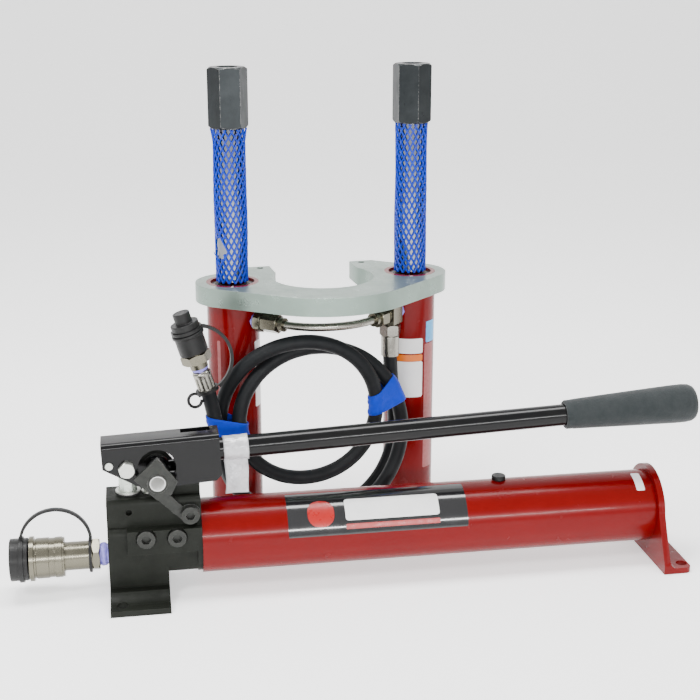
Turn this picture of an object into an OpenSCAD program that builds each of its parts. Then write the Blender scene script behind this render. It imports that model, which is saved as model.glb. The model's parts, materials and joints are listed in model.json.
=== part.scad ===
// Twin-cylinder hydraulic yoke press with its hose and a separate two-stage hand pump.
// Millimetres, +Z up, +X along the pump's reservoir towards its end foot.
// The origin is on the floor, in the middle of the set.

/* [Press] */
// Distance between the two cylinder axes
cylinder_spacing = 180; // [170:1:190]
// Outer diameter of a cylinder barrel
barrel_d = 50.8; // [48:0.1:51]
// Wall of a cylinder barrel
barrel_wall = 4; // [3:0.5:5]
// Height of the yoke plate's top face, flush with the barrels' rims
yoke_top = 244; // [240:1:250]
// Thickness of the yoke plate
yoke_thick = 18; // [14:1:22]
// Diameter of a chrome rod
rod_d = 28; // [26:0.5:30]
// Length of rod showing above the yoke when it is fully out
rod_out = 147.8; // [144:0.1:160]
// Length of a coupling nut
nut_length = 56.3; // [45:0.1:60]
// Width across the flats of a coupling nut
nut_flats = 33; // [31:0.5:36]
// Radius of a coupling nut's threaded bore
nut_bore_r = 10; // [8:0.5:10]
// Turn of the press against the pump, in degrees
press_yaw = 5.3; // [0:0.1:8]

/* [Hose] */
// Outer diameter of the hose
hose_d = 14; // [12:0.5:14.5]
// Radius of the hose coil, to the middle of its turns
coil_r = 81; // [78:1:82]

/* [Pump] */
// Outer diameter of the reservoir tube
reservoir_d = 67; // [64:0.5:68]
// Length of the reservoir tube between head and end bracket
reservoir_length = 420; // [380:5:440]
// Height of the reservoir's axis above the floor
reservoir_z = 45.7; // [44:0.1:47]
// Distance between the outer edges of a pair of feet
foot_span = 118; // [110:1:124]
// Outer diameter of the handle tube
handle_d = 20; // [19:0.5:20]
// Rise of the handle at rest, in degrees
handle_rise = 2.4; // [1:0.1:3]

/* [Hidden] */
$fn = 64;

// Places of the two assemblies in the set
pump_x = -147.5;
pump_y = -79;
press_x = -12.4;
press_y = 76.3;

// Running and assembly clearances
slip = 0.05;
gap = 0.3;

// Press
barrel_r = barrel_d / 2;
bore_r = barrel_r - barrel_wall;
rod_r = rod_d / 2;
yoke_under = yoke_top - yoke_thick;
base_thick = 12;
lobe_r = 36;
front_r = 92;
opening_r = 50;
opening_y = -2;
mouth_half = 42;
horn_y = 56;
horn_half = 66;
shoulder_half = 88;
horn_hole_x = 53;
horn_hole_y = 49;
horn_hole_r = 3.4;
gland_low = 222;
gland_high = yoke_top - 3;
wiper_low = gland_high - 5;
wiper_r = 17;
piston_high = 201;
piston_long = 25;
seal_thick = 5;
nut_low = yoke_top + rod_out;
nut_high = nut_low + nut_length;
stud_r = 8;
stud_long = 20;
nut_turn = [-1.9, -27.9];
net_r = 15.9;

// Transfer line: ports, tube and the two bends between the tube nuts
port_z = 208;
port_r = 5;
left_port_angle = -45;
tube_r = 4;
tube_sides = 16;
adapter_end = 36;
left_nut_end = 61;
tee_out = 40;
run_angle = 218;
tee_nut_start = 12;
tee_nut_end = 30;
tube_end_left = [-cylinder_spacing / 2 + left_nut_end * cos(left_port_angle),
    left_nut_end * sin(left_port_angle)];
tee_xy = [cylinder_spacing / 2 - tee_out * cos(45), -tee_out * sin(45)];
tube_end_right = tee_xy + tee_nut_end * [cos(run_angle), sin(run_angle)];
tube_y = -60.7;
left_bend_r = (tube_end_left[1] - tube_y) / (1 - cos(left_port_angle));
right_bend_r = (tube_end_right[1] - tube_y) / (1 - cos(run_angle - 180));

// Hose
hose_r = hose_d / 2;
coil_centre = [-25, -49, 100];
coil_half_r = 19;
coil_half_y = 14;
strap_thick = 2;
strap_sweep = 17;
left_strap_at = 163.5;
right_strap_at = 14.5;
swivel_low = 166;
hose_tail_route = [[61.7, -28.3, 166], [61.7, -28.3, 150], [63, -28, 135], [66, -28, 120],
    [68, -28.5, 107], [68, -34, 94], [66, -42, 82]];
hose_end_route = [[-100, -52, 62], [-107, -53, 76], [-112.5, -55, 91], [-116, -57.5, 107],
    [-119, -59.5, 124], [-122, -60, 139.6], [-126, -60, 153]];
hose_end_lean = 16.5;
hose_sides = 10;

// Pump head and feet
head_left = -82;
head_waist = -30;
head_half = 26;
cheek_half = 20.2;
cheek_low = 66.5;
head_top = 91;
head_low = 22;
foot_thick = 5.5;
foot_hole_r = 5;
foot_hole_y = 48.5;
head_hole_x = -71.5;
end_hole_x = reservoir_length + 20.5;
boss_half = 31;
plug_at = [[-48.8, 59], [-21.9, 58.5]];
plug_r = 8;
outlet_z = 33.7;
outlet_r = 9;

// Reservoir and end bracket
reservoir_r = reservoir_d / 2;
reservoir_wall = 2;
bracket_thick = 6;
bracket_end = 27;
tie_r = 6;
filler = [277, 3];
filler_r = 6.5;

// Lever: pivot places in the pump's frame, on x and z
bolt_at = [-62.6, 118.8];
pivot_at = [-36.7, 107];
link_at = [-9.7, 77.5];
plunger_r = 8;
bolt_r = 4;
eye_r = 5;
link_in = 20.5;
link_out = 24.5;
sleeve_r = 9;
sleeve_hole_r = 6.9;
// Link plate: corners about the pivot, then the arm down to the screw
plate_corners = [[0.6, 23.6], [-20.3, 5], [-1, -15.4], [11.6, -10.6], [17.3, 1.1]];
link_eye_r = 9;
arm_wide = 11;
arm_across = [pivot_at[1] - link_at[1], link_at[0] - pivot_at[0]] / norm(link_at - pivot_at);
// Recess in the beam's sides over the pivot
recess_at = [0.6, 11.1];
recess_r = 16.6;
recess_low = 6;
beam_half = 15;
beam_wall = 3;
beam_left = -83.6;
beam_right = 19;
beam_top = 18.5;
handle_z = 126.4;
handle_r = handle_d / 2;
handle_end = 456;
grip_start = 337;
grip_end = 463;
release_at = [-22, 57];
relief_x = -43;
rivet_at = [-77.6, 122.4];
// A point given on the pump's x and z, in the handle's frame
function in_handle(p) = [p[0] * cos(handle_rise) + (p[1] - handle_z) * sin(handle_rise),
    -p[0] * sin(handle_rise) + (p[1] - handle_z) * cos(handle_rise)];
pivot_in_handle = in_handle(pivot_at);
bolt_in_handle = in_handle(bolt_at);
rivet_in_handle = in_handle(rivet_at);

// Half-couplers
hose_hex_flats = 25;
coupler_hex_flats = 26;
collar_r = 18;
cap_r = 18.75;

// ---- Places ----
module at_pump() translate([pump_x, pump_y, 0]) children();
module at_press() translate([press_x, press_y, 0]) rotate([0, 0, press_yaw]) children();
module at_cylinder(side) at_press() translate([side * cylinder_spacing / 2, 0, 0]) children();
module at_handle() at_pump() translate([0, 0, handle_z]) rotate([0, -handle_rise, 0]) children();
module at_hose_end() at_press() translate(hose_end_route[len(hose_end_route) - 1])
    rotate([0, -hose_end_lean, 0]) children();
module at_coupler() at_pump() translate([0, 0, outlet_z]) rotate([0, -90, 0]) children();
module along_x(x) translate([x, 0, 0]) rotate([0, 90, 0]) children();
module along_y(x, z) translate([x, 0, z]) rotate([-90, 0, 0]) children();
module both_sides() { children(); mirror([0, 1, 0]) children(); }
module both_ends() { children(); mirror([0, 0, 1]) children(); }
// Ring of outer radius ro and inner radius ri, standing from low to high
module ring(ro, ri, low, high) translate([0, 0, low]) difference() {
    cylinder(r = ro, h = high - low);
    translate([0, 0, -1]) cylinder(r = ri, h = high - low + 2);
}
// Disc of radius r from low to high
module disc(r, low, high) translate([0, 0, low]) cylinder(r = r, h = high - low);
// Hexagon from low to high with its corners turned down at both ends
module hex_bar(flats, low, high, chamfer = 1.2) intersection() {
    translate([0, 0, low]) cylinder(r = flats / 2 / cos(30), h = high - low, $fn = 6);
    rotate_extrude() polygon([[0, low], [flats / 2, low], [flats / 2 / cos(30), low + chamfer],
        [flats / 2 / cos(30), high - chamfer], [flats / 2, high], [0, high]]);
}
// Rectangle w by h about the origin with corners of radius r
module round_rect(w, h, r) {
    square([w - 2 * r, h], center = true);
    square([w, h - 2 * r], center = true);
    for (x = [-1, 1], y = [-1, 1]) translate([x * (w / 2 - r), y * (h / 2 - r)]) circle(r);
}
// Block along x whose y-z section is a rounded rectangle
module x_block(x0, x1, half, low, high, r) translate([x0, 0, (low + high) / 2])
    rotate([90, 0, 90]) linear_extrude(x1 - x0) round_rect(2 * half, high - low, r);

// ---- Sweep along a route ----
function unit(v) = v / norm(v);
function heading(p, i) = unit(p[min(i + 1, len(p) - 1)] - p[max(i - 1, 0)]);
function side_of(d) = unit(cross(d, abs(d[1]) < 0.9 ? [0, 1, 0] : [1, 0, 0]));
function circle_at(p, i, r, n) = let (d = heading(p, i), s = side_of(d), t = cross(d, s))
    [for (k = [0 : n - 1]) p[i] + r * (cos(k * 360 / n) * s + sin(k * 360 / n) * t)];
// Round bar of radius r with n sides, swept along the points p
module sweep(p, r, n) polyhedron(
    points = [for (i = [0 : len(p) - 1]) each circle_at(p, i, r, n)],
    faces = concat(
        [[for (k = [0 : n - 1]) k]],
        [for (i = [0 : len(p) - 2], k = [0 : n - 1])
            [i * n + k, (i + 1) * n + k, (i + 1) * n + (k + 1) % n, i * n + (k + 1) % n]],
        [[for (k = [n - 1 : -1 : 0]) (len(p) - 1) * n + k]]));

// ---- Press ----
function arc(x, y, r, from, to, steps) = [for (k = [0 : steps]) let (a = from + (to - from) * k / steps)
    [x + r * cos(a), y + r * sin(a)]];
// Right half of the outline: front arc, its tangent to the lobe, the lobe and the horn
function yoke_half() = let (lean = acos((front_r - lobe_r) / (cylinder_spacing / 2))) concat(
    arc(0, 0, front_r, -90, -lean, 12),
    arc(cylinder_spacing / 2, 0, lobe_r, -lean, 88, 24),
    [[shoulder_half, lobe_r + 1], [horn_half, horn_y], [0, horn_y]]);
module yoke_outline() polygon(concat(yoke_half(),
    [for (k = [len(yoke_half()) - 2 : -1 : 1]) [-yoke_half()[k][0], yoke_half()[k][1]]]));
module yoke_plate() color([0.80, 0.82, 0.72]) at_press() difference() {
    translate([0, 0, yoke_under]) linear_extrude(yoke_thick) yoke_outline();
    translate([0, opening_y, yoke_under - 1]) cylinder(r = opening_r, h = yoke_thick + 2, $fn = 96);
    translate([-mouth_half, 0, yoke_under - 1]) cube([2 * mouth_half, horn_y + 5, yoke_thick + 2]);
    for (side = [-1, 1]) {
        translate([side * cylinder_spacing / 2, 0, 0]) cylinder(r = barrel_r + slip, h = yoke_top + 1);
        translate([side * horn_hole_x, horn_hole_y, 0]) cylinder(r = horn_hole_r, h = yoke_top + 1);
    }
}
// Barrel with a closed base and one port facing angle
module barrel(side, angle) color([0.75, 0, 0.04]) at_cylinder(side) difference() {
    cylinder(r = barrel_r, h = yoke_top);
    translate([0, 0, base_thick]) cylinder(r = bore_r, h = yoke_top);
    translate([0, 0, port_z]) rotate([0, 0, angle]) rotate([0, 90, 0]) cylinder(r = port_r, h = barrel_d);
}
module left_barrel() barrel(-1, left_port_angle);
module right_barrel() barrel(1, 180 - left_port_angle);
module gland(side) color([0.35, 0.36, 0.37]) at_cylinder(side) difference() {
    disc(bore_r - slip, gland_low, gland_high);
    disc(rod_r + slip, gland_low - 1, gland_high + 1);
    disc(wiper_r, wiper_low, gland_high + 1);
    for (turn = [0, 180]) rotate([0, 0, turn]) translate([wiper_r + 2, 0, gland_high - 2])
        cylinder(r = 1.2, h = 3);
}
module left_gland() gland(-1);
module right_gland() gland(1);
module rod_wipers() color([0.1, 0.1, 0.1]) for (side = [-1, 1])
    at_cylinder(side) ring(wiper_r - slip, rod_r + slip, wiper_low + slip, gland_high + 0.6);

// Transfer line between the two ports
module at_left_port() at_cylinder(-1) translate([0, 0, port_z])
    rotate([0, 0, left_port_angle]) rotate([0, 90, 0]) children();
module at_tee() at_press() translate([tee_xy[0], tee_xy[1], port_z]) children();
module tee_arm(angle) rotate([0, 0, angle]) rotate([0, 90, 0]) children();
module port_adapter() color([0.72, 0.70, 0.62]) at_left_port() difference() {
    union() {
        disc(port_r - slip, bore_r + 0.5, barrel_r + 2);
        disc(6.5, barrel_r + gap, 28);
        hex_bar(19, 28, adapter_end);
    }
    disc(2.5, bore_r, adapter_end + 1);
}
module port_tee() color([0.72, 0.70, 0.62]) at_tee() {
    rotate([0, 0, -45]) translate([-9, -9, -9]) cube([18, 18, 18.6]);
    tee_arm(45) disc(port_r - slip, 0, tee_out - bore_r - 0.5);
    tee_arm(45) disc(6.5, 0, tee_out - barrel_r - gap);
    tee_arm(run_angle) disc(7.5, 0, tee_nut_start);
    rotate([180, 0, 0]) disc(7.5, 0, 10);
}
function bend(centre, r, from, to) = [for (k = [0 : 5]) let (a = from + (to - from) * k / 5)
    [centre[0] + r * cos(a), centre[1] + r * sin(a), port_z]];
tube_route = concat(
    [[-cylinder_spacing / 2 + (adapter_end + slip) * cos(left_port_angle),
        (adapter_end + slip) * sin(left_port_angle), port_z]],
    bend([tube_end_left[0] - left_bend_r * sin(left_port_angle), tube_y + left_bend_r], left_bend_r,
        270 + left_port_angle, 270),
    bend([tube_end_right[0] + right_bend_r * sin(run_angle), tube_y + right_bend_r], right_bend_r,
        270, 90 + run_angle),
    [concat(tee_xy + (tee_nut_start + slip) * [cos(run_angle), sin(run_angle)], [port_z])]);
module transfer_tube() color([0.72, 0.72, 0.70]) at_press() sweep(tube_route, tube_r, tube_sides);
module tube_nut(start, end) difference() {
    union() {
        hex_bar(17, start, end - 7);
        disc(6.8, end - 7.5, end - 1);
    }
    disc(tube_r + slip, start - 1, end);
}
module tube_nuts() color([0.78, 0.76, 0.66]) {
    at_left_port() tube_nut(adapter_end + slip, left_nut_end);
    at_tee() tee_arm(run_angle) tube_nut(tee_nut_start + slip, tee_nut_end);
}

// Hose and what is on it
module hose_swivel() color([0.70, 0.70, 0.68]) at_press() translate([tee_xy[0], tee_xy[1], 0]) {
    hex_bar(19, 187, port_z - 10 - slip);
    disc(7, 184, 188);
    disc(9, swivel_low, 186);
}
module hose_tail() color([0.08, 0.08, 0.09]) at_press() sweep(hose_tail_route, hose_r, hose_sides);
module hose_end() color([0.08, 0.08, 0.09]) at_press() sweep(hose_end_route, hose_r, hose_sides);
module at_coil() at_press() translate(coil_centre) rotate([90, 0, 0]) children();
module hose_coil() color([0.08, 0.08, 0.09]) at_coil() rotate_extrude($fn = 96)
    translate([coil_r, 0]) round_rect(2 * coil_half_r, 2 * coil_half_y, hose_r);
module strap(start) color([0.0, 0.35, 0.85]) at_coil() rotate([0, 0, start])
    rotate_extrude(angle = strap_sweep, $fn = 96) translate([coil_r, 0]) difference() {
        round_rect(2 * (coil_half_r + strap_thick), 2 * (coil_half_y + strap_thick), hose_r + strap_thick);
        round_rect(2 * (coil_half_r + slip), 2 * (coil_half_y + slip), hose_r);
    }
module left_strap() strap(left_strap_at);
module right_strap() strap(right_strap_at);
module hose_ferrule() color([0.70, 0.70, 0.68]) at_hose_end() {
    disc(8.75, slip, 23);
    disc(6.5, 22, 26);
}
module hose_half_coupler() color([0.76, 0.74, 0.62]) at_hose_end() {
    disc(8.5, 26 + slip, 33);
    hex_bar(hose_hex_flats, 32, 41);
    disc(11, 40, 58);
    disc(8, 57, 62);
}
module hose_cap() color([0.07, 0.07, 0.07]) at_hose_end() difference() {
    union() {
        disc(13.7, 42, 60);
        disc(15.2, 59, 62);
        disc(13.2, 61, 72);
        disc(8, 71, 82);
    }
    disc(11 + slip, 41, 58 + gap);
    disc(8 + gap, 57, 62 + gap);
}
module hose_cap_strap() color([0.07, 0.07, 0.07]) at_hose_end() {
    ring(14.8, 13.25, 63, 66);
    ring(11, 8.85, 1, 4);
    difference() {
        translate([-0.6, 0, 33.5]) rotate([90, 0, 0]) rotate([0, 0, -69])
            rotate_extrude(angle = 138, $fn = 96) translate([33.6, 0]) square([3, 4], center = true);
        disc(10, -5, 10);
        disc(14, 55, 75);
        disc(15.2 + slip, 58, 62 + slip);
    }
}

// Rods and what rides on them
module rod(side) color([0.85, 0.85, 0.86]) at_cylinder(side) {
    disc(rod_r, piston_high, nut_low);
    disc(stud_r, nut_low - 1, nut_low + stud_long - gap);
    disc(rod_r - 4, piston_high - piston_long, piston_high + 1);
}
module left_rod() rod(-1);
module right_rod() rod(1);
module piston(side) color([0.45, 0.46, 0.48]) at_cylinder(side) difference() {
    disc(bore_r - slip, piston_high - piston_long, piston_high - slip);
    disc(rod_r - 4 + slip, 0, piston_high + 1);
    ring(bore_r + 1, bore_r - 3, piston_high - 15, piston_high - 15 + seal_thick);
}
module left_piston() piston(-1);
module right_piston() piston(1);
module piston_seal(side) color([0.1, 0.3, 0.7]) at_cylinder(side)
    ring(bore_r - slip, bore_r - 3 + slip, piston_high - 15 + slip, piston_high - 15 + seal_thick - slip);
module left_piston_seal() piston_seal(-1);
module right_piston_seal() piston_seal(1);
module coupling_nut(side, turn) color([0.13, 0.14, 0.16]) at_cylinder(side) rotate([0, 0, turn])
    difference() {
        hex_bar(nut_flats, nut_low + slip, nut_high, 2);
        disc(stud_r + slip, nut_low - 1, nut_high);
        disc(nut_bore_r, nut_low + stud_long, nut_high + 1);
    }
module left_nut() coupling_nut(-1, nut_turn[0]);
module right_nut() coupling_nut(1, nut_turn[1]);
module net(side) color([0.0, 0.2, 0.9]) at_cylinder(side)
    ring(net_r, rod_r + 0.2, yoke_top + 0.5, nut_low - gap);
module left_net() net(-1);
module right_net() net(1);

// ---- Pump ----
// Leg section: a pair of feet that sweep up into the column
module leg_section() {
    fillet = 22;
    rise = 4;
    difference() {
        union() {
            translate([-foot_span / 2, 0]) square([foot_span, foot_thick]);
            translate([-head_half - fillet, 0]) square([2 * (head_half + fillet), foot_thick + rise + 2]);
            translate([-head_half, 0]) square([2 * head_half, head_low + 20]);
        }
        for (s = [-1, 1]) translate([s * (head_half + fillet + 2), foot_thick + fillet]) circle(fillet);
    }
}
module pump_head() color([0.19, 0.19, 0.17]) at_pump() difference() {
    union() {
        x_block(head_left, 0, head_half, head_low, cheek_low, 7);
        x_block(head_left, 0, cheek_half, cheek_low - 20, head_top, 5);
        translate([head_left, 0, 0]) rotate([90, 0, 90]) linear_extrude(head_waist - head_left)
            leg_section();
        translate([-65, -boss_half, 44]) cube([65, boss_half, cheek_low - 44.5]);
        x_block(-24, 0, 11, head_top - 10, 103, 5);
        along_x(-4) translate([-reservoir_z, 0, 0]) cylinder(r = 31.3, h = 17);
        translate([0, 0, release_at[1]]) translate([release_at[0], head_half - 2, 0])
            rotate([-90, 0, 0]) cylinder(r = 11, h = 6);
    }
    for (s = [-1, 1]) {
        translate([head_hole_x, s * foot_hole_y, -1]) cylinder(r = foot_hole_r, h = 30);
        along_y(link_at[0], link_at[1]) translate([0, 0, s > 0 ? 8 : -boss_half])
            cylinder(r = 5, h = boss_half - 8);
    }
    translate([bolt_at[0], 0, 30]) cylinder(r = plunger_r + slip, h = head_top);
    for (p = plug_at) along_y(p[0], p[1]) translate([0, 0, -boss_half - 1]) {
        cylinder(r = plug_r + 1, h = 4.2);
        cylinder(r = 5, h = 24);
    }
    along_y(-62.8, 80) translate([0, 0, -boss_half]) cylinder(r = 2.8, h = 16);
    translate([0, 0, outlet_z]) along_x(head_left - 1) cylinder(r = outlet_r, h = 11);
    translate([0, 0, reservoir_z]) along_x(-25) cylinder(r = tie_r, h = 50);
    translate([0, 14, 28]) along_x(-6) cylinder(r = 3, h = 20);
    translate([relief_x, 0, head_top - 8]) cylinder(r = 5, h = 9);
    along_y(release_at[0], release_at[1]) translate([0, 0, 8]) cylinder(r = 5, h = 30);
}
// Socket-head plug lying along -y, its head's outer face at y
module socket_plug(x, z, y, r, long) difference() {
    union() {
        along_y(x, z) translate([0, 0, y]) cylinder(r = r, h = 6);
        along_y(x, z) translate([0, 0, y + 5]) cylinder(r = 5 - slip, h = long);
    }
    along_y(x, z) translate([0, 0, y - 1]) cylinder(r = r * 0.55, h = 5, $fn = 6);
}
module head_plugs() color([0.20, 0.20, 0.20]) at_pump()
    for (p = plug_at) socket_plug(p[0], p[1], -boss_half - 3, plug_r, 10);
module check_balls() color([0.8, 0.8, 0.82]) at_pump()
    for (p = plug_at) translate([p[0], -12, p[1]]) sphere(r = 3.9);
module reservoir_tube() color([0.75, 0, 0.04]) at_pump() translate([0, 0, reservoir_z]) along_x(0.2)
    difference() {
        cylinder(r = reservoir_r, h = reservoir_length - 0.4, $fn = 96);
        translate([0, 0, -1]) cylinder(r = reservoir_r - reservoir_wall, h = reservoir_length + 2, $fn = 96);
        translate([-reservoir_r, filler[1], filler[0] - 0.2]) rotate([0, 90, 0])
            cylinder(r = 5, h = 12, center = true);
    }
module bracket_section() {
    translate([0, reservoir_z]) circle(39, $fn = 96);
    half = foot_span / 2;
    polygon([[-half, 0], [-half, 8], [-37, reservoir_z + 8], [37, reservoir_z + 8], [half, 8], [half, 0]]);
}
module end_bracket() color([0.75, 0, 0.04]) at_pump() translate([reservoir_length, 0, 0]) difference() {
    union() {
        rotate([90, 0, 90]) linear_extrude(bracket_thick) bracket_section();
        translate([0, 0, reservoir_z]) along_x(-14) cylinder(r = reservoir_r - reservoir_wall - slip, h = 15);
        translate([0, -foot_span / 2, 0]) cube([bracket_end - 6, foot_span, foot_thick]);
        translate([bracket_end - 6, -foot_span / 2 + 6, 0]) cube([6, foot_span - 12, foot_thick]);
        for (s = [-1, 1]) translate([bracket_end - 6, s * (foot_span / 2 - 6), 0])
            cylinder(r = 6, h = foot_thick);
        difference() {
            translate([bracket_thick - 1, -foot_span / 2, foot_thick - 1]) cube([7, foot_span, 7]);
            along_y(bracket_thick + 6, foot_thick + 6) cylinder(r = 6, h = foot_span + 2, center = true);
        }
    }
    translate([0, 0, reservoir_z]) along_x(-20) cylinder(r = tie_r + slip, h = 40);
    for (s = [-1, 1]) translate([end_hole_x - reservoir_length, s * foot_hole_y, -1])
        cylinder(r = foot_hole_r, h = 20);
}
module tie_rod() color([0.6, 0.6, 0.58]) at_pump() translate([0, 0, reservoir_z]) along_x(-24)
    cylinder(r = tie_r - slip, h = reservoir_length + 24 + 18);
module tie_rod_nut() color([0.80, 0.78, 0.66]) at_pump() translate([0, 0, reservoir_z])
    along_x(reservoir_length + bracket_thick + slip) difference() {
        union() {
            disc(12, 0, 2.5);
            hex_bar(18, 2.4, 12.5);
        }
        disc(tie_r, -1, 14);
    }
module filler_plug() color([0.08, 0.08, 0.08]) at_pump() translate([filler[0], filler[1], 0]) {
    disc(filler_r, reservoir_z + reservoir_r + 0.1, reservoir_z + reservoir_r + 4.5);
    disc(5 - slip, reservoir_z + reservoir_r - 6, reservoir_z + reservoir_r + 1);
}
module oil_pickup() color([0.7, 0.5, 0.3]) at_pump() translate([0, 14, 28]) along_x(-5) difference() {
    cylinder(r = 3 - slip, h = 75);
    translate([0, 0, -1]) cylinder(r = 2, h = 77);
}
module oil_strainer() color([0.7, 0.6, 0.35]) at_pump() translate([0, 14, 28]) along_x(60) difference() {
    cylinder(r = 7, h = 20);
    translate([0, 0, -1]) cylinder(r = 3, h = 12);
}
module pump_seals() color([0.1, 0.1, 0.1]) at_pump() {
    translate([0, 0, reservoir_z]) along_x(reservoir_length + bracket_thick - 1.6 - 22)
        ring(7.5, tie_r, 0, 1.5);
    translate([bolt_at[0], 0, 0]) ring(10.8, plunger_r + slip, head_top + slip, head_top + 1.5);
}
module plunger_gland() color([0.62, 0.66, 0.68]) at_pump() translate([bolt_at[0], 0, 0])
    ring(11, plunger_r + slip, head_top + 1.5 + slip, head_top + 3.2);
module relief_plug() color([0.62, 0.66, 0.68]) at_pump() translate([relief_x, 0, 0]) {
    disc(8, head_top + slip, head_top + 1.5);
    disc(6, head_top + 1, head_top + 4.5);
    disc(5 - slip, head_top - 7, head_top + 1);
}
module release_knob() color([0.08, 0.08, 0.08]) at_pump() along_y(release_at[0], release_at[1]) {
    disc(5 - slip, 12, 40);
    difference() {
        disc(14, 34, 50);
        for (k = [0 : 5]) rotate([0, 0, 60 * k]) translate([17, 0, 33]) cylinder(r = 5, h = 18);
    }
}

// Outlet coupler, along -x from the head
module outlet_nipple() color([0.45, 0.42, 0.85]) at_coupler() disc(outlet_r - slip, 72.5, 90);
module coupler_body() color([0.76, 0.74, 0.62]) at_coupler() difference() {
    union() {
        hex_bar(coupler_hex_flats, 90 + slip, 96.6);
        disc(12.65, 96, 128);
        disc(11.5, 127, 149);
    }
    disc(9.5, 132, 150);
}
module coupler_collar() color([0.76, 0.74, 0.62]) at_coupler() difference() {
    union() {
        disc(collar_r - 0.6, 120.7, 147);
        disc(collar_r, 122.5, 129);
        disc(collar_r, 134, 145);
        disc(19.8, 147 - slip, 151);
    }
    disc(12.7, 119, 133.5);
    disc(11.55, 130, 152);
}
module coupler_cap() color([0.07, 0.07, 0.07]) at_coupler() {
    disc(cap_r, 152, 168);
    disc(9.3, 134, 153);
}
module coupler_cap_strap() color([0.07, 0.07, 0.07]) at_coupler() {
    ring(cap_r + 1.6, cap_r + slip, 156, 160);
    ring(15.6, 12.75, 97, 99.5);
    difference() {
        translate([15, 0, 128]) rotate([90, 0, 0]) rotate([0, 0, -90]) rotate_extrude(angle = 180, $fn = 96)
            translate([30.5, 0]) square([2.5, 4], center = true);
        disc(14.5, 90, 105);
        disc(cap_r + 0.8, 145, 170);
    }
}

// Lever and its linkage
module link_plate() translate([0, link_in, 0]) rotate([-90, 0, 0]) mirror([0, 1, 0])
    linear_extrude(link_out - link_in) difference() {
        union() {
            translate(link_at) circle(link_eye_r);
            polygon([for (p = plate_corners) pivot_at + p]);
            polygon([link_at - link_eye_r * arm_across, pivot_at - arm_wide * arm_across, pivot_at, link_at]);
        }
        translate(pivot_at) circle(sleeve_r);
        translate(link_at) circle(6 + slip);
    }
module link_arms() color([0.10, 0.10, 0.10]) at_pump() both_sides() link_plate();
module link_pivot() color([0.12, 0.12, 0.12]) at_pump() along_y(pivot_at[0], pivot_at[1]) difference() {
    union() {
        disc(sleeve_r, -link_out - 0.5, link_out + 0.5);
        both_ends() disc(11.5, beam_half + slip, link_in - slip);
    }
    disc(sleeve_hole_r, -link_out - 2, link_out + 2);
}
module link_screws() color([0.2, 0.2, 0.2]) at_pump() both_sides() along_y(link_at[0], link_at[1])
    difference() {
        union() {
            disc(5 - slip, 9, cheek_half + 1);
            disc(6, cheek_half + slip, link_out + 0.3);
            disc(8, link_out + 0.25, link_out + 6);
        }
        translate([0, 0, link_out + 2]) cylinder(r = 4, h = 5, $fn = 6);
    }
// Side of the beam, in the handle's frame: x along the handle, y up from its axis
module beam_side() difference() {
    polygon([[beam_left, beam_top], [beam_left, -3.8], [-54.7, -22], [-40, -25.5], [-28, -25.5],
        [beam_right - 5, -24], [beam_right, -19], [beam_right, beam_top]]);
    difference() {
        translate(pivot_in_handle + recess_at) circle(recess_r);
        translate(pivot_in_handle) circle(12.5);
        translate(pivot_in_handle + [-recess_r - 2, recess_low - 2 * recess_r])
            square([2 * recess_r + 4, 2 * recess_r]);
    }
    translate(pivot_in_handle) circle(sleeve_r + 0.06);
    translate(bolt_in_handle) circle(bolt_r + slip);
}
module beam_slab(y0, y1) translate([0, y1, 0]) rotate([90, 0, 0]) linear_extrude(y1 - y0) children();
module lever_beam() color([0.06, 0.06, 0.06]) at_handle() {
    difference() {
        union() {
            beam_slab(-beam_half, -beam_half + beam_wall) beam_side();
            beam_slab(beam_half - beam_wall, beam_half) beam_side();
            intersection() {
                x_block(beam_left, beam_right, beam_half, -20, beam_top, 5);
                translate([beam_left, -beam_half, beam_top - 6])
                    cube([beam_right - beam_left, 2 * beam_half, 6]);
            }
        }
        x_block(beam_left - 1, beam_right + 1, beam_half - beam_wall, -30, beam_top - beam_wall, 2);
        beam_corners();
        translate([-14, 0, 10]) cube([26, 9, 10]);
        beam_slab(-beam_half - 1, beam_half + 1) translate(rivet_in_handle) circle(2.5 + slip);
    }
    difference() {
        along_x(-22) disc(beam_half - beam_wall + 0.01, 0, beam_right + 20);
        along_x(-30) disc(handle_r + slip, 0, beam_right + 40);
    }
}
// The square edges that the beam's rounded top leaves over
module beam_corners() difference() {
    translate([beam_left - 1, -beam_half - 1, beam_top - 5])
        cube([beam_right - beam_left + 2, 2 * beam_half + 2, 6]);
    x_block(beam_left - 2, beam_right + 2, beam_half, -20, beam_top, 5);
}
module handle_tube() color([0.06, 0.06, 0.06]) at_handle() along_x(-22) difference() {
    cylinder(r = handle_r, h = handle_end + 22);
    translate([0, 0, -1]) cylinder(r = handle_r - 2, h = handle_end + 24);
}
module grip() color([0.22, 0.23, 0.23]) at_handle() along_x(0) difference() {
    rotate_extrude() polygon([[0, grip_start], [12.5, grip_start], [13.4, grip_start + 1.5],
        [13.4, grip_start + 6], [13.8, grip_start + 8], [16.2, 400], [17.8, 440], [18, 452],
        [17.3, 458], [15.5, 461.5], [12, grip_end], [0, grip_end]]);
    disc(handle_r + slip, grip_start - 1, handle_end + slip);
}
module plunger_bolt() color([0.66, 0.68, 0.68]) at_pump() along_y(bolt_at[0], bolt_at[1]) {
    disc(bolt_r, -beam_half - 1, beam_half + 6);
    translate([0, 0, 0]) rotate([0, 0, 15]) hex_bar(13, -beam_half - 5.5, -beam_half - slip, 0.8);
    rotate([0, 0, 15]) hex_bar(13, beam_half + slip, beam_half + 5.5, 0.8);
}
module beam_rivet() color([0.7, 0.7, 0.68]) at_pump() along_y(rivet_at[0], rivet_at[1]) {
    disc(2.5, -beam_half - 1, beam_half + 1);
    both_ends() disc(3.5, beam_half + slip, beam_half + 1.6);
}
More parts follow.
